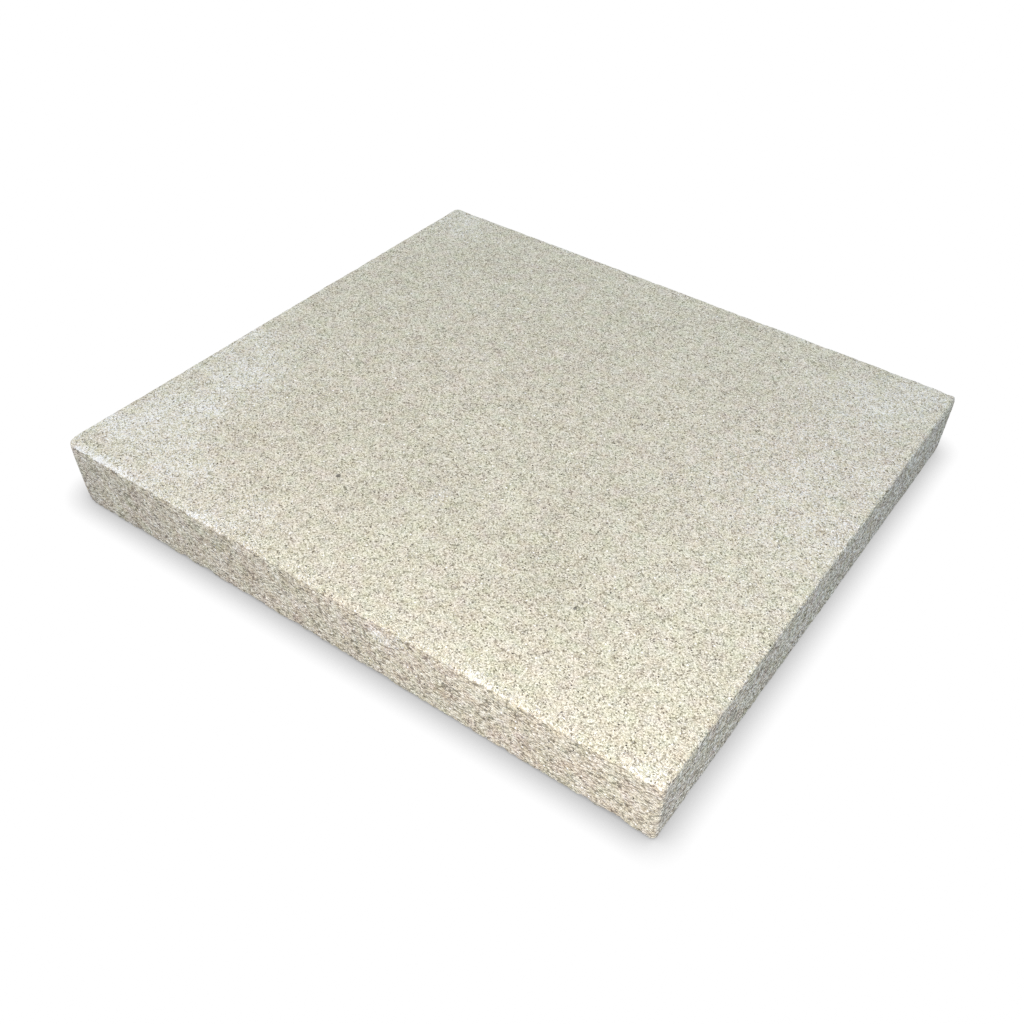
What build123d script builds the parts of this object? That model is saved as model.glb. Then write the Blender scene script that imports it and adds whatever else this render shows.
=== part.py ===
"""Vermiculite baffle plate: one rectangular slab of pressed board, cut to size, lying flat.

Millimetres, +Z up. The origin is the centre of the underside.
X runs along the length and Y along the width.
"""

import os

from build123d import *

# Driving dimensions
plate_length = 250.0  # along X
plate_width = 233.0  # along Y
board_thickness = 25.0  # the stock thickness of the pressed board
corner_radius = 3.0  # upright corners, rubbed round by handling
upper_arris_radius = 1.0  # edge round the upper face, just broken
lower_arris_radius = 1.5  # edge round the underside, a little more worn

os.makedirs("parts", exist_ok=True)

# The slab: its plan outline, raised through the board's thickness
with BuildPart() as baffle_plate:
    with BuildSketch(Plane.XY):
        RectangleRounded(plate_length, plate_width, corner_radius)
    extrude(amount=board_thickness)

    # The arrises, broken all round the two large faces
    upper_face = baffle_plate.faces().sort_by(Axis.Z)[-1]
    fillet(upper_face.edges(), radius=upper_arris_radius)
    underside = baffle_plate.faces().sort_by(Axis.Z)[0]
    fillet(underside.edges(), radius=lower_arris_radius)

baffle_plate.part.label = "baffle_plate"
export_step(baffle_plate.part, "parts/baffle_plate.step")
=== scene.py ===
"""Looks of a vermiculite baffle plate: one slab of pressed vermiculite board, cut to size, lying flat.

Metres, +Z up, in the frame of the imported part: the origin is the centre of the underside,
X runs along the length and Y along the width.
Sizes below are written in millimetres and become metres where they enter Blender.
"""

import itertools
import math

import bpy
import numpy as np
from mathutils import Matrix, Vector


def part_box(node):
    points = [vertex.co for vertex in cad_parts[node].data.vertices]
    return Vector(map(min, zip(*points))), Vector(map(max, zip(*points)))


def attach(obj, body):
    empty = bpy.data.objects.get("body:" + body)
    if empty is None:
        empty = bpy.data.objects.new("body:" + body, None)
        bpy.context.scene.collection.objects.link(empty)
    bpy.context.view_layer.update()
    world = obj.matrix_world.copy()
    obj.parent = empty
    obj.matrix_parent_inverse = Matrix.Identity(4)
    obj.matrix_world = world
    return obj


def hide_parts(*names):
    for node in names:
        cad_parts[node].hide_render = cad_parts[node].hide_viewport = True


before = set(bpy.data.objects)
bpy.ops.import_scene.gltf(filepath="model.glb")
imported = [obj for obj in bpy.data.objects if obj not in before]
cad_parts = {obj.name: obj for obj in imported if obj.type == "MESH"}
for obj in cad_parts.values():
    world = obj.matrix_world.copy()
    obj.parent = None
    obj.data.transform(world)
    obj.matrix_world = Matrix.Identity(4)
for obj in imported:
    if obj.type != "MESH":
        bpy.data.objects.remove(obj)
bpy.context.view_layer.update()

MM = 0.001  # one millimetre in Blender's metres

# The plate's own box, from the frame
plate_low, plate_high = (np.array(corner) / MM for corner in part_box("baffle_plate"))
half_length, half_width = (plate_high - plate_low)[:2] / 2
thickness = plate_high[2] - plate_low[2]

# Edges, as the part has them
upper_arris = 1.0  # radius of the edge round the upper face, just broken
lower_arris = 1.5  # radius of the edge round the underside, more worn
corner_radius = 3.0  # upright corners

# Upright corners in view, by the signs of X and Y: their radius at the upper face and at the underside
worn_corners = {
    (-1, -1): (5.0, 11.0),
    (1, -1): (1.6, 1.8),
    (1, 1): (1.8, 6.0),
}
worn_corner_power = 1.3  # how quickly that wear fades upwards
least_turn = 0.4  # least radius that a row of the rim keeps at a corner, so that it doesn't fold over

# The mesh's steps
flat_step = 2.5  # grid on the two large faces
fine_steps = 5  # steps of the rim for each step of the flat grid
flat_margin = 6.0  # from the outline to the flat grid
rim_reach = 2.6  # from the outline to the rim's inner border, on both large faces
shelf_rows, upper_arris_rows, side_rows, lower_arris_rows = 3, 4, 26, 5

# Relief, all of it inwards: how deep, and how wide
wave_depth, wave_size = 0.06, 26.0  # slow waves of the pressed faces and the saw cuts
grain_depth, grain_size = 0.2, 1.7  # granules that stand out of the cut sides
grain_flatness = 1.7  # how much lower than wide they are
crumble_size, chip_size, bite_size = 1.2, 3.6, 8.0  # along the arrises
chip_rest, bite_rest = 0.15, 0.35  # share of the arris that stays whole
crumble_depths = {"upper": 0.6, "lower": 1.15}
chip_depths = {"upper": 1.1, "lower": 1.3}
bite_depths = {"upper": 1.3, "lower": 1.5}
arris_spread = 1.5  # how far from the arris they reach
knock_shares = {"front": 1.0, "right": 0.55, "elsewhere": 0.3}  # the far edges took fewer knocks

# One seed for each noise; the grains use theirs and the next two
seeds = {
    "waves": 1,
    "grains": 2,
    "crumbs": 5,
    "chips": 6,
    "bites": 7,
    "border": 8,
    "rubbing": 9,
    "drift along": 10,
    "drift across": 11,
    "streaks": 12,
}


# Noise on a lattice, for the relief and the dust

# Large odd numbers and shifts that turn a lattice point into a draw
axis_factors = (374761393, 668265263, 2246822519)
mixing_factor = 2654435761
seed_factor, seed_start = 40503, 12345
first_shift, second_shift = 15, 13
word_bits, draw_bits = 32, 24


def lattice_draws(cell, seed):
    """One number from 0 to 1 for each lattice point.

    Its whole coordinates, times large odd numbers, are folded into one word, which shifts and products mix.
    The word's upper bits are the draw.
    """
    mixed = np.full(cell.shape[:-1], seed * seed_factor + seed_start, np.uint32)
    for axis, factor in enumerate(axis_factors):
        mixed ^= cell[..., axis].astype(np.int64).astype(np.uint32) * np.uint32(factor)
        mixed ^= mixed >> np.uint32(first_shift)
        mixed *= np.uint32(mixing_factor)
        mixed ^= mixed >> np.uint32(second_shift)
    return (mixed >> np.uint32(word_bits - draw_bits)) / float(1 << draw_bits)


def soft_noise(points, size, seed):
    """Smooth noise from -1 to 1: lattice draws size mm apart, blended by a cubic step across each cell."""
    scaled = points / size
    cell = np.floor(scaled)
    share = scaled - cell
    share = share * share * (3 - 2 * share)
    total = np.zeros(len(points))
    for corner in itertools.product((0, 1), repeat=3):
        weight = np.where(corner, share, 1 - share).prod(axis=1)
        total += weight * lattice_draws(cell + corner, seed)
    return 2 * total - 1


def grain_domes(points, size, seed):
    """Rounded grains, 1 at the middle of a grain and 0 a cell away.

    Each cell of a lattice with steps of size mm holds one random point, a grain's middle.
    The dome is 1 less the squared distance to the nearest of them, in cells.
    """
    scaled = points / size
    cell = np.floor(scaled)
    nearest = np.full(len(points), np.inf)
    for step in itertools.product((-1, 0, 1), repeat=3):
        corner = cell + step
        middle = corner + np.stack([lattice_draws(corner, seed + axis) for axis in range(3)], axis=1)
        nearest = np.minimum(nearest, ((scaled - middle) ** 2).sum(axis=1))
    return np.clip(1 - nearest, 0, 1)


# The plate's surface


def rim_profile():
    """The section through the rim, from the upper face over both arrises to the underside.

    Each row has its inset from the outline, its height, and the outward and upward shares of its normal.
    The rows are a flat shelf, a quarter circle, a straight side, a quarter circle and a flat shelf.
    """
    upper_turn = np.linspace(math.pi / 2, 0, upper_arris_rows + 1)
    lower_turn = np.linspace(0, -math.pi / 2, lower_arris_rows + 1)
    side = np.linspace(thickness - upper_arris, lower_arris, side_rows + 1)[1:-1]
    upper_shelf = np.linspace(rim_reach, upper_arris, shelf_rows + 1)[:-1]
    lower_shelf = np.linspace(lower_arris, rim_reach, shelf_rows)[1:]
    inset = [
        upper_shelf,
        upper_arris * (1 - np.cos(upper_turn)),
        0 * side,
        lower_arris * (1 - np.cos(lower_turn)),
        lower_shelf,
    ]
    height = [
        0 * upper_shelf + thickness,
        thickness - upper_arris * (1 - np.sin(upper_turn)),
        side,
        lower_arris * (1 + np.sin(lower_turn)),
        0 * lower_shelf,
    ]
    turn = [
        0 * upper_shelf + math.pi / 2,
        upper_turn,
        0 * side,
        lower_turn,
        0 * lower_shelf - math.pi / 2,
    ]
    inset, height, turn = (np.concatenate(rows) for rows in (inset, height, turn))
    return inset, height, np.cos(turn), np.sin(turn)


def outline_points(cells_long, cells_wide, steps, long_reach, wide_reach):
    """Points round a rectangle, with steps to each cell, anticlockwise from its -X -Y corner."""
    along = np.linspace(-long_reach, long_reach, cells_long * steps + 1)[:-1]
    across = np.linspace(-wide_reach, wide_reach, cells_wide * steps + 1)[:-1]
    front = np.stack([along, 0 * along - wide_reach], axis=1)
    right = np.stack([0 * across + long_reach, across], axis=1)
    return np.concatenate([front, right, -front, -right])


def plate_surface():
    """The bare plate: its vertices, its outward normals, its four-sided faces and its triangles.

    The rim is its section carried round the outline. A corner of the outline is an arc: a point on the
    sharp rectangle is drawn to the nearest point of the rectangle that lies inside by the corner's radius,
    then pushed out again by that radius less the row's inset. A worn corner's radius grows downwards from
    one value to another, as a power of the depth below the upper face. No radius is less than the row's
    inset and a little more. A flat grid fills each large face, and triangles join it to the finer rim.
    """
    cells_long = round(2 * (half_length - flat_margin) / flat_step)
    cells_wide = round(2 * (half_width - flat_margin) / flat_step)
    inset, height, out_share, up_share = rim_profile()
    sharp = outline_points(cells_long, cells_wide, fine_steps, half_length, half_width)

    # The rim
    wear = (1 - height / thickness) ** worn_corner_power
    radius = np.full((len(height), len(sharp)), corner_radius)
    for quarter, (head_radius, foot_radius) in worn_corners.items():
        there = (sharp * quarter > 0).all(axis=1)
        radius[:, there] = (head_radius + (foot_radius - head_radius) * wear)[:, None]
    radius = np.maximum(radius, inset[:, None] + least_turn)
    reach = np.array([half_length, half_width]) - radius[..., None]
    anchor = np.clip(sharp, -reach, reach)
    outward = sharp - anchor
    outward /= np.linalg.norm(outward, axis=2, keepdims=True)
    place = anchor + outward * (radius - inset[:, None])[..., None]
    rows, around = place.shape[:2]
    level = np.broadcast_to(height[:, None, None], (rows, around, 1))
    upward = np.broadcast_to(up_share[:, None, None], (rows, around, 1))
    rim = np.concatenate([place, level], axis=2)
    rim_normal = np.concatenate([outward * out_share[:, None, None], upward], axis=2)
    index = np.arange(rows * around).reshape(rows, around)
    ahead = np.roll(index, -1, axis=1)
    rim_quads = np.stack([index[1:], ahead[1:], ahead[:-1], index[:-1]], axis=2).reshape(-1, 4)

    # The two flat grids, and the triangles that join each to the rim
    vertices = [rim.reshape(-1, 3)]
    normals = [rim_normal.reshape(-1, 3)]
    quads = [rim_quads]
    triangles = []
    grid_x = np.linspace(-1, 1, cells_long + 1) * (half_length - flat_margin)
    grid_y = np.linspace(-1, 1, cells_wide + 1) * (half_width - flat_margin)
    count = rows * around
    half = fine_steps // 2
    for level, facing, border in ((thickness, 1, index[0]), (0.0, -1, index[-1])):
        flat = np.stack(np.meshgrid(grid_x, grid_y, [level], indexing="ij"), axis=-1).reshape(-1, 3)
        place = count + np.arange(len(flat)).reshape(cells_long + 1, cells_wide + 1)
        cells = np.stack([place[:-1, :-1], place[1:, :-1], place[1:, 1:], place[:-1, 1:]], axis=2)
        edge = np.concatenate([place[:-1, 0], place[-1, :-1], place[:0:-1, -1], place[0, :0:-1]])
        edge_ahead = np.roll(edge, -1)
        fine = np.stack([np.roll(border, -step)[::fine_steps] for step in range(fine_steps + 1)], axis=1)
        fans = [
            (fine[:, step], fine[:, step + 1], edge if step < half else edge_ahead)
            for step in range(fine_steps)
        ]
        fans.append((fine[:, half], edge_ahead, edge))
        joins = np.concatenate([np.stack(fan, axis=1) for fan in fans])
        vertices.append(flat)
        normals.append(np.tile([0.0, 0.0, facing], (len(flat), 1)))
        quads.append(cells.reshape(-1, 4)[:, ::facing])
        triangles.append(joins[:, ::facing])
        count += len(flat)
    return tuple(np.concatenate(parts) for parts in (vertices, normals, quads, triangles))


def arris_nearness(points, height, spread):
    """A bell curve of the distance from the edge between the sides and the face at that height."""
    from_side = np.minimum(half_length - np.abs(points[:, 0]), half_width - np.abs(points[:, 1]))
    distance = np.hypot(from_side, points[:, 2] - height)
    return np.exp(-((distance / spread) ** 2))


def near_front(points):
    """Whether each point is on the front side, at -Y, or near it."""
    return half_width + points[:, 1] < flat_margin


def by_side(points, shares):
    """A share for each point: that of the front side near -Y, of the right side near +X, or of elsewhere."""
    near_right = half_length - points[:, 0] < flat_margin
    sides = [near_front(points), near_right]
    return np.select(sides, [shares["front"], shares["right"]], shares["elsewhere"])


def plate_relief(points, normals):
    """How far the real surface lies inside the bare plate, in mm.

    It is a sum of slow waves, of grains on the cut sides, and, near each arris, of crumbled grains, chips
    and a few bites. Each is a noise of its own size, and what lies above its rest share counts as depth.
    """
    cut = 1 - np.abs(normals[:, 2])
    sink = wave_depth * (1 + soft_noise(points, wave_size, seeds["waves"]))
    flattened = points * [1, 1, grain_flatness]
    sink = sink + grain_depth * cut * (1 - grain_domes(flattened, grain_size, seeds["grains"]))
    crumbs = np.abs(soft_noise(points, crumble_size, seeds["crumbs"]))
    chips = np.clip(soft_noise(points, chip_size, seeds["chips"]) - chip_rest, 0, 1)
    bites = np.clip(soft_noise(points, bite_size, seeds["bites"]) - bite_rest, 0, 1)
    for arris, height in (("upper", thickness), ("lower", 0.0)):
        depth = crumble_depths[arris] * crumbs + chip_depths[arris] * chips + bite_depths[arris] * bites
        sink = sink + by_side(points, knock_shares) * arris_nearness(points, height, arris_spread) * depth
    return sink


# Marks on the upper face: the middle of each along X and Y, its reach and its strength
# Blooms: partly pale dust, partly painted sheen and light that make the edges and the right of the upper
# face paler
dust_and_sheen_blooms = (
    (-110, -84, 20, 0.26),
    (-103, -50, 22, 0.22),
    (-100, -74, 7, 0.25),
    (-112, -97, 14, 0.24),
    (-80, -102, 18, 0.32),
    (-45, -108, 14, 0.2),
    (-114, -35, 24, 0.2),
    (-1, -61, 4, 0.25),
    (-114, 106, 18, 0.3),
    (98, 88, 22, 0.22),
    (114, 106, 12, 0.22),
    (112, 30, 48, 0.26),
    (119, -114, 7, 0.3),
)
# Painted shade: spots where the upper face is made a little darker and greyer
painted_shade_spots = (
    (44, -66, 32, 0.65),
    (64, -72, 18, 0.5),
    (-6, -60, 18, 0.6),
    (46, -12, 26, 0.3),
)
warm_areas = (
    (98, 44, 52, 1.1),
    (-8, 26, 56, 0.55),
    (-62, -94, 42, 0.75),
    (-62, -8, 34, 0.5),
)
bloom_drift, bloom_fray = 5.0, 11.0  # how far, and over what length, they leave their round shape
streak_size, streak_mean, streak_swing = 3.5, 0.8, 0.5  # thicker and thinner places within each

# Dust on the front side: the same, along X and Z
side_dust = ((26, 20, 6.5, 0.3),)

# Rubbing along the upper edge, with runs on the front: the middle of each along X, its reach and strength
rub_runs = (
    (-106, 17, 0.75),
    (-58, 8, 0.5),
    (-32, 5, 0.35),
    (-9, 4, 0.3),
    (62, 6, 0.4),
    (98, 5, 0.2),
    (119, 6, 0.35),
)
rub_spread = 2.6  # width of the paler line
rub_shares = {"front": 0.25, "right": 0.1, "elsewhere": 0.25}
rub_patch, rub_mean, rub_swing = 14.0, 0.4, 0.9  # length over which it comes and goes, and how much

# The cut sides
border_ragged = 0.7  # how far broken grains carry the side's look over the upper edge
# On the right side the granules' unlike tones are partly painted shade and light
uneven_and_shaded_shares = {"front": 0.15, "right": 0.95, "elsewhere": 0.3}  # how unlike in tone a side's granules are


def bell(offset, reach):
    """The bell curve of an offset's length: 1 at no offset, and next to nothing at twice the reach."""
    return np.exp(-(offset ** 2).sum(axis=1) / reach ** 2)


def surface_marks(points, normals):
    """What the material needs to know at each vertex, from 0 to 1.

    Cut side is how far the surface turns away from the pressed faces, with a noise near the upper edge.
    Dust and sheen is a sum. On the upper face it has the nearness of its edge, times a share for each side
    and a slow noise, then the runs along the front edge, all of which are pale dust, and the blooms, which
    are partly dust and partly painted sheen and light. On the front side it has that side's dust. Painted
    shade and warmed are sums of the spots of that kind on the upper face. Uneven and shaded is a share for
    each cut side, on the right side partly painted shade and light. Runs, blooms and spots are bell curves
    round their middles. One noise shifts the blooms and spots, so that they aren't round, and another makes
    them thicker and thinner.
    """
    near = arris_nearness(points, thickness, rub_spread)
    ragged = border_ragged * near * soft_noise(points, crumble_size, seeds["border"])
    cut = np.clip(1 - np.abs(normals[:, 2]) + ragged, 0, 1)
    on_top = (1 - cut) * (normals[:, 2] > 0)
    on_front = near_front(points)
    drifts = [soft_noise(points, bloom_fray, seeds[name]) for name in ("drift along", "drift across")]
    drift = bloom_drift * np.stack(drifts, axis=1)
    streaks = streak_mean + streak_swing * soft_noise(points, streak_size, seeds["streaks"])

    patchy = np.clip(rub_mean + rub_swing * soft_noise(points, rub_patch, seeds["rubbing"]), 0, 1)
    dust_and_sheen = by_side(points, rub_shares) * patchy * near
    for middle, reach, strength in rub_runs:
        dust_and_sheen += strength * near * on_front * bell(points[:, :1] - middle, reach)
    painted_shade, warmed = np.zeros((2, len(points)))
    for total, spots in ((dust_and_sheen, dust_and_sheen_blooms), (painted_shade, painted_shade_spots), (warmed, warm_areas)):
        for middle_x, middle_y, reach, strength in spots:
            total += strength * streaks * bell(points[:, :2] + drift - (middle_x, middle_y), reach)
        total *= on_top
    for middle_x, middle_z, reach, strength in side_dust:
        offset = points[:, [0, 2]] + drift - (middle_x, middle_z)
        dust_and_sheen += cut * on_front * strength * streaks * bell(offset, reach)

    marks = {
        "cut_side": cut,
        "dust_and_sheen": dust_and_sheen,
        "painted_shade": painted_shade,
        "warmed": warmed,
        "uneven_and_shaded": cut * by_side(points, uneven_and_shaded_shares),
    }
    return {name: np.clip(values, 0, 1) for name, values in marks.items()}


def build_plate(material):
    """The plate as one closed mesh, with what its material needs to know stored on its vertices."""
    points, normals, quads, triangles = plate_surface()
    placed = points - normals * plate_relief(points, normals)[:, None]
    mesh = bpy.data.meshes.new("baffle_plate_board")
    mesh.from_pydata((placed * MM).tolist(), [], quads.tolist() + triangles.tolist())
    mesh.polygons.foreach_set("use_smooth", np.ones(len(mesh.polygons), bool))
    for name, values in surface_marks(points, normals).items():
        attribute = mesh.attributes.new(name, "FLOAT", "POINT")
        attribute.data.foreach_set("value", values.astype(np.float32))
    mesh.materials.append(material)
    mesh.update()
    board = bpy.data.objects.new("baffle_plate_board", mesh)
    bpy.context.scene.collection.objects.link(board)
    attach(board, "root")
    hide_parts("baffle_plate")


# Materials

# Sockets of a Mix node that mixes colours: the share of the second, the two colours, and the output
SHARE, UNDER, OVER, MIXED = 0, 6, 7, 2


def linear(code):
    """An sRGB hex colour as linear red, green, blue and full alpha."""
    shares = [int(code[start:start + 2], 16) / 255 for start in (1, 3, 5)]
    return tuple(c / 12.92 if c <= 0.04045 else ((c + 0.055) / 1.055) ** 2.4 for c in shares) + (1.0,)


def add_node(tree, kind, inputs=None, stops=(), **settings):
    """Adds one shader node with its own settings, and returns its outputs.

    Each input is given a value, or is linked to another node's output.
    Stops are the places and colours of a ramp.
    """
    node = tree.nodes.new("ShaderNode" + kind)
    for name, value in settings.items():
        setattr(node, name, value)
    for socket, value in (inputs or {}).items():
        if isinstance(value, bpy.types.NodeSocket):
            tree.links.new(value, node.inputs[socket])
        else:
            node.inputs[socket].default_value = value
    for number, (position, code) in enumerate(stops):
        ramp = node.color_ramp.elements
        stop = ramp[number] if number < len(ramp) else ramp.new(position)
        stop.position = position
        stop.color = linear(code)
    return node.outputs


def new_material(name):
    """An empty node material and its tree."""
    material = bpy.data.materials.new(name)
    material.use_nodes = True
    material.node_tree.nodes.clear()
    return material, material.node_tree


# The board's grain: sizes in mm
grit_size = 0.43  # the finest grains that the pressed faces show
flake_size = 1.0  # the pressed granules, which lie flat in the board
flake_height = 0.52  # the same granules on edge, as the cut sides show them
face_flakes, side_flakes = 0.12, 0.75  # share of the granules' tones on the pressed faces and the cut sides
speck_spacing = 2.7  # between the middles of the specks, in every direction
speck_reach = 0.34  # radius of a speck
speck_core = 0.8  # share of that radius in which a speck is whole

# Tones that drift over many grains: the size in mm, how much finer detail, and the share laid over them
patch_size, patch_detail, patch_share = 5.0, 1.0, 0.13  # faint patches of another hue
cloud_size, cloud_detail, cloud_share = 7.0, 3.0, 0.27  # faint paler and darker patches
clump_size, clump_detail, clump_share = 2.4, 2.0, 0.85  # granules of one tone together, on the cut sides

# Painted shade in the hollows between grains: where it starts and ends, in cells from a grain's middle, and
# how dark it gets
grit_hollow_shade = {"From Min": 0.5, "From Max": 0.85, "To Max": 0.5}
flake_hollow_shade = {"From Min": 0.45, "From Max": 0.72, "To Max": 0.65}

# Relief too fine for the mesh: a grain's foot, in cells from its middle, and its height in mm
grit_dome = {"From Max": 0.8, "To Min": 0.06, "To Max": 0.0}
flake_dome = {"From Max": 0.8, "To Min": 0.13, "To Max": 0.0}

# The darkest granules of the upper face: the middle of each along X and Y, and its reach
dark_granules = (
    (-34.6, -70.2, 1.4),
    (67.6, -73.4, 1.0),
)
granule_fray = 0.5  # share of the reach by which the grains round it make its edge ragged
granule_core = 0.7  # share of the reach in which it is darkest
granule_share = 0.85  # how much of its own tone it has there

# Pale dust, and painted sheen and light in the blooms: how much a grain's own draw holds it off, from and to
# which rest the grain turns pale, and how much
dust_and_sheen_hold = -0.8
dust_and_sheen_range = {"From Min": -0.1, "From Max": 0.2, "To Max": 0.7}

# Colours: from the rarest dark grains, over the common ones, to the rarest pale ones
grit_tones = (
    (0.0, "#564F3F"),
    (0.1, "#99957F"),
    (0.25, "#BBB7A0"),
    (0.5, "#D3CFB8"),
    (0.8, "#E4E0CA"),
    (1.0, "#F4F0DE"),
)
flake_tones = (
    (0.0, "#463D2F"),
    (0.06, "#807561"),
    (0.16, "#B4A992"),
    (0.5, "#D0C6AE"),
    (0.84, "#DED6BF"),
    (1.0, "#F6F0DE"),
)
speck_tones = (
    (0.0, "#2A2620"),
    (0.4, "#544E44"),
    (0.6, "#F8F6EC"),
    (1.0, "#FFFFFC"),
)
hollow_shade_tone = "#584E3E"  # painted shade between grains
granule_tone = "#4A463C"
painted_shade_tone = "#F1F0EF"  # painted shade: a little darker and greyer
warm_tone = "#FFFBFC"  # a little redder
dust_and_sheen_tone = "#F1F3F2"  # pale dust, and painted sheen and light in the blooms

# A dry mineral surface
board_roughness = 0.9
mineral_ior = 1.5


def pressed_vermiculite_board():
    """Vermiculite granules pressed flat in a silicate binder, then sawn.

    It gives the eye a dry, matt, gritty surface: pale fine grains with painted shade in the hollows on the
    pressed faces, granules on edge with painted shade in their gaps on the cut sides, a few dark and white
    specks, pale dust where the board was rubbed, blooms that are partly dust and partly painted sheen and
    light, and a few spots of painted shade. On the right side the granules' tones are partly painted shade
    and light.
    """
    material, tree = new_material("pressed_vermiculite_board")
    where = add_node(tree, "TexCoord")["Object"]
    cut_side, dust_and_sheen, uneven_and_shaded = (
        add_node(tree, "Attribute", attribute_name=name)["Fac"] for name in ("cut_side", "dust_and_sheen", "uneven_and_shaded")
    )

    # Grains: each has its own tone, drawn at random
    grit = add_node(tree, "TexVoronoi", {"Vector": where, "Scale": 1 / (grit_size * MM)})
    flake_scale = [1 / (size * MM) for size in (flake_size, flake_size, flake_height)]
    flake_place = add_node(tree, "Mapping", {"Vector": where, "Scale": flake_scale})
    flake = add_node(tree, "TexVoronoi", {"Vector": flake_place[0], "Scale": 1.0})
    grit_draw = add_node(tree, "SeparateColor", {0: grit["Color"]})
    flake_draw = add_node(tree, "SeparateColor", {0: flake["Color"]})
    grit_colour = add_node(tree, "ValToRGB", {0: grit_draw[0]}, stops=grit_tones)
    flake_colour = add_node(tree, "ValToRGB", {0: flake_draw[0]}, stops=flake_tones)
    share = add_node(tree, "MapRange", {"Value": cut_side, "To Min": face_flakes, "To Max": side_flakes})
    colour = add_node(
        tree, "Mix", {SHARE: share[0], UNDER: grit_colour[0], OVER: flake_colour[0]}, data_type="RGBA"
    )

    # Hollows: painted shade, darker where no grain's middle is near
    grit_gap = add_node(tree, "MapRange", {"Value": grit["Distance"], **grit_hollow_shade})
    flake_gap = add_node(tree, "MapRange", {"Value": flake["Distance"], **flake_hollow_shade})
    gap = add_node(tree, "Mix", {"Factor": cut_side, "A": grit_gap[0], "B": flake_gap[0]})
    colour = add_node(
        tree, "Mix", {SHARE: gap[0], UNDER: colour[MIXED], OVER: linear(hollow_shade_tone)}, data_type="RGBA"
    )

    # Specks: dark and white, where the surface cuts a small ball round each point
    speck = add_node(tree, "TexVoronoi", {"Vector": where, "Scale": 1 / (speck_spacing * MM)})
    speck_edge = speck_reach / speck_spacing
    speck_range = {"From Min": speck_edge, "From Max": speck_core * speck_edge}
    share = add_node(tree, "MapRange", {"Value": speck["Distance"], **speck_range})
    speck_draw = add_node(tree, "SeparateColor", {0: speck["Color"]})
    speck_colour = add_node(tree, "ValToRGB", {0: speck_draw[0]}, stops=speck_tones)
    colour = add_node(
        tree, "Mix", {SHARE: share[0], UNDER: colour[MIXED], OVER: speck_colour[0]}, data_type="RGBA"
    )

    # The darkest granules of the upper face, ragged by the grains round them
    for middle_x, middle_y, reach in dark_granules:
        middle = (middle_x * MM, middle_y * MM, thickness * MM)
        edge, fray, core = (part * reach * MM for part in (1, granule_fray, granule_core))
        away = add_node(tree, "VectorMath", {0: where, 1: middle}, operation="DISTANCE")
        frayed = add_node(
            tree, "Math", {0: grit_draw[2], 1: fray, 2: away["Value"]}, operation="MULTIPLY_ADD"
        )
        granule_range = {"From Min": edge, "From Max": core, "To Max": granule_share}
        share = add_node(tree, "MapRange", {"Value": frayed[0], **granule_range})
        tones = {UNDER: colour[MIXED], OVER: linear(granule_tone)}
        colour = add_node(tree, "Mix", {SHARE: share[0], **tones}, data_type="RGBA")

    # Patches drift in red, green and blue, each by itself. The others drift in lightness
    sizes = (patch_size, cloud_size, clump_size)
    details = (patch_detail, cloud_detail, clump_detail)
    patch, cloud, clump = (
        add_node(tree, "TexNoise", {"Vector": where, "Scale": 1 / (size * MM), "Detail": detail})
        for size, detail in zip(sizes, details)
    )
    side_clumps = add_node(tree, "MapRange", {"Value": cut_side, "To Max": clump_share})
    drifts = (
        (patch["Color"], patch_share),
        (cloud[0], cloud_share),
        (clump[0], side_clumps[0]),
        # The granules' own tones, and on the right side partly painted shade and light on them
        (flake_draw[1], uneven_and_shaded),
    )
    for drift, share in drifts:
        colour = add_node(
            tree, "Mix", {SHARE: share, UNDER: colour[MIXED], OVER: drift},
            data_type="RGBA", blend_type="SOFT_LIGHT",
        )

    # Painted shade, a little darker and greyer, and warmer areas: faint, over the grains
    for name, tone in (("painted_shade", painted_shade_tone), ("warmed", warm_tone)):
        share = add_node(tree, "Attribute", attribute_name=name)["Fac"]
        colour = add_node(
            tree, "Mix", {SHARE: share, UNDER: colour[MIXED], OVER: linear(tone)},
            data_type="RGBA", blend_type="MULTIPLY",
        )

    # Pale dust, and painted sheen and light in the blooms: the more of both a spot has, the more of its
    # grains are pale
    pale_dust_and_sheen = add_node(tree, "Math", {0: grit_draw[1], 1: dust_and_sheen_hold, 2: dust_and_sheen}, operation="MULTIPLY_ADD")
    share = add_node(tree, "MapRange", {"Value": pale_dust_and_sheen[0], **dust_and_sheen_range})
    colour = add_node(
        tree, "Mix", {SHARE: share[0], UNDER: colour[MIXED], OVER: linear(dust_and_sheen_tone)}, data_type="RGBA"
    )

    # The finest relief
    grit_rise = add_node(tree, "MapRange", {"Value": grit["Distance"], **grit_dome})
    flake_rise = add_node(tree, "MapRange", {"Value": flake["Distance"], **flake_dome})
    rise = add_node(
        tree, "Math", {0: flake_rise[0], 1: cut_side, 2: grit_rise[0]}, operation="MULTIPLY_ADD"
    )
    bump = add_node(tree, "Bump", {"Height": rise[0], "Distance": MM})
    looks = {
        "Base Color": colour[MIXED],
        "Roughness": board_roughness,
        "IOR": mineral_ior,
        "Normal": bump[0],
    }
    surface = add_node(tree, "BsdfPrincipled", looks)
    add_node(tree, "OutputMaterial", {"Surface": surface[0]})
    return material


# Floor, light and camera

plain_white = "#FFFFFF"


def seen_directly(tree):
    """1 for rays from the camera, or sent on by mirrors and glass, and 0 for the light's own rays."""
    path = add_node(tree, "LightPath")
    seen = path["Is Camera Ray"]
    for kind in ("Is Glossy Ray", "Is Transmission Ray"):
        seen = add_node(tree, "Math", {0: seen, 1: path[kind]}, operation="MAXIMUM")[0]
    return seen


floor_reach = 4.0  # metres from the plate to the floor's edge
floor_tone = "#C8CEDA"  # as the light finds it: it sends a little less light back up than white paper would
shadow_reach = 0.0098  # metres over which the plate's soft shadow fades
shadow_depth = 0.78  # how much darker the floor is where it sees nothing but the plate
shadow_samples = 8


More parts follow.
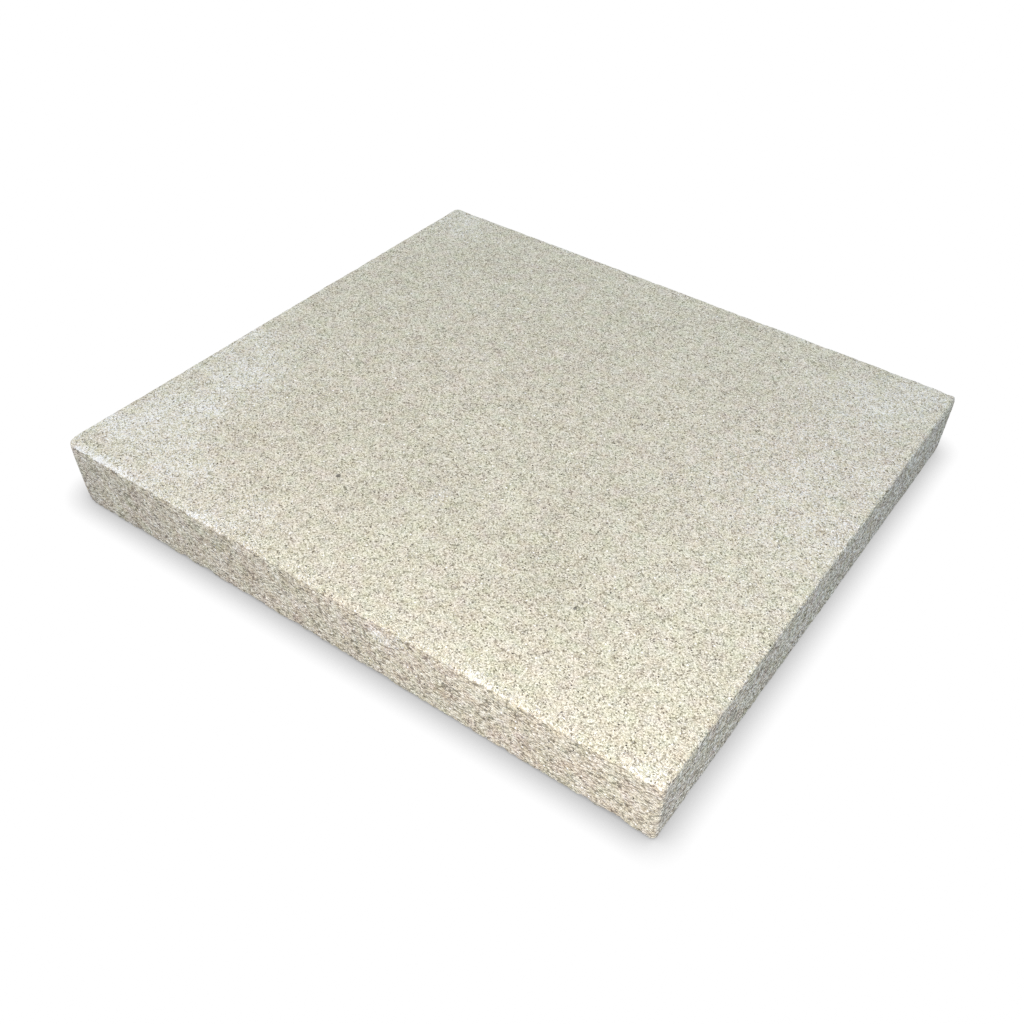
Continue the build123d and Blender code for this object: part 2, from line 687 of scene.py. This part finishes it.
def studio_floor():
    """Matt white studio paper. It shows white, and darkens softly where the plate hides the sky."""
    material, tree = new_material("matt_white_paper")
    plain = add_node(tree, "BsdfDiffuse", {"Color": linear(floor_tone)})
    open_sky = add_node(tree, "AmbientOcclusion", {"Distance": shadow_reach}, samples=shadow_samples)
    level = add_node(tree, "MapRange", {"Value": open_sky["AO"], "To Min": 1 - shadow_depth, "To Max": 1.0})
    glow = add_node(tree, "Emission", {"Color": linear(plain_white), "Strength": level[0]})
    mixed = add_node(tree, "MixShader", {0: seen_directly(tree), 1: plain[0], 2: glow[0]})
    add_node(tree, "OutputMaterial", {"Surface": mixed[0]})
    corners = [
        (-floor_reach, -floor_reach, 0.0),
        (floor_reach, -floor_reach, 0.0),
        (floor_reach, floor_reach, 0.0),
        (-floor_reach, floor_reach, 0.0),
    ]
    mesh = bpy.data.meshes.new("floor")
    mesh.from_pydata(corners, [], [(0, 1, 2, 3)])
    mesh.materials.append(material)
    floor = bpy.data.objects.new("floor", mesh)
    bpy.context.scene.collection.objects.link(floor)


sky_tone = "#D8EAFF"  # cool, even daylight
sky_strength = 0.748

# Square panels, warm but for the one on the right: where each stands, what it faces, its side and its power
lamps = {
    "key": {"place": (148, -302, 225), "aim": (50, -30, 20), "side": 200, "watts": 0.91, "tone": "#FFF2E8"},
    "top": {"place": (120, 80, 700), "aim": (110, 70, 20), "side": 400, "watts": 0.9, "tone": "#FFF5EC"},
    "back": {"place": (-150, 700, 120), "aim": (0, 110, 12), "side": 400, "watts": 0.8, "tone": "#FFF0E2"},
    "right": {"place": (450, 0, 150), "aim": (125, 0, 12), "side": 150, "watts": 0.1, "tone": "#E4ECFF"},
    "fill": {"place": (-700, -165, 350), "aim": (0, 0, 20), "side": 400, "watts": 1.5, "tone": "#FFE4CD"},
}


def soft_light():
    """A pale sky all round, and the panels. Each panel's matrix has its side, its up and its back line."""
    world = bpy.data.worlds.new("studio")
    world.use_nodes = True
    tree = world.node_tree
    tree.nodes.clear()
    sky = add_node(tree, "Background", {"Color": linear(sky_tone), "Strength": sky_strength})
    white = add_node(tree, "Background", {"Color": linear(plain_white), "Strength": 1.0})
    mixed = add_node(tree, "MixShader", {0: seen_directly(tree), 1: sky[0], 2: white[0]})
    add_node(tree, "OutputWorld", {"Surface": mixed[0]})
    bpy.context.scene.world = world
    for name, lamp in lamps.items():
        light = bpy.data.lights.new(name, "AREA")
        light.size = lamp["side"] * MM
        light.energy = lamp["watts"]
        light.color = linear(lamp["tone"])[:3]
        holder = bpy.data.objects.new(name, light)
        place, aim = (np.array(lamp[key]) * MM for key in ("place", "aim"))
        back = (place - aim) / np.linalg.norm(place - aim)
        side = np.cross((0, 0, 1), back)
        side /= np.linalg.norm(side)
        turn = np.eye(4)
        turn[:3, :3] = np.stack([side, np.cross(back, side), back], axis=1)
        turn[:3, 3] = place
        holder.matrix_world = Matrix(turn)
        holder.visible_camera = False
        bpy.context.scene.collection.objects.link(holder)


camera_place = (192.2, -299.4, 291.8)
camera_azimuth = 33.62  # degrees, turned from +Y towards -X
camera_elevation = 41.51  # degrees down
camera_roll = 2.76  # degrees, the right-hand side up
camera_lens = 41.16
sensor_width = 36.0
nearest_seen = 10.0  # from the camera


def photograph_camera():
    """The photograph's camera: its forward line from azimuth and elevation, then rolled round that line."""
    azimuth, elevation, roll = (math.radians(a) for a in (camera_azimuth, camera_elevation, camera_roll))
    level = np.array([math.cos(azimuth), math.sin(azimuth), 0.0])
    ahead = np.array([-math.sin(azimuth), math.cos(azimuth), 0.0])
    forward = ahead * math.cos(elevation) - np.array([0.0, 0.0, math.sin(elevation)])
    upright = np.cross(level, forward)
    right = level * math.cos(roll) + upright * math.sin(roll)
    up = upright * math.cos(roll) - level * math.sin(roll)
    lens = bpy.data.cameras.new("camera")
    lens.lens = camera_lens
    lens.sensor_width = sensor_width
    lens.clip_start = nearest_seen * MM
    turn = np.eye(4)
    turn[:3, :3] = np.stack([right, up, -forward], axis=1)
    turn[:3, 3] = np.array(camera_place) * MM
    camera = bpy.data.objects.new("camera", lens)
    camera.matrix_world = Matrix(turn)
    bpy.context.scene.collection.objects.link(camera)
    bpy.context.scene.camera = camera


build_plate(pressed_vermiculite_board())
studio_floor()
soft_light()
photograph_camera()
bpy.context.scene.view_settings.view_transform = "Standard"
bpy.context.scene.cycles.use_denoising = False  # it would smear the grit
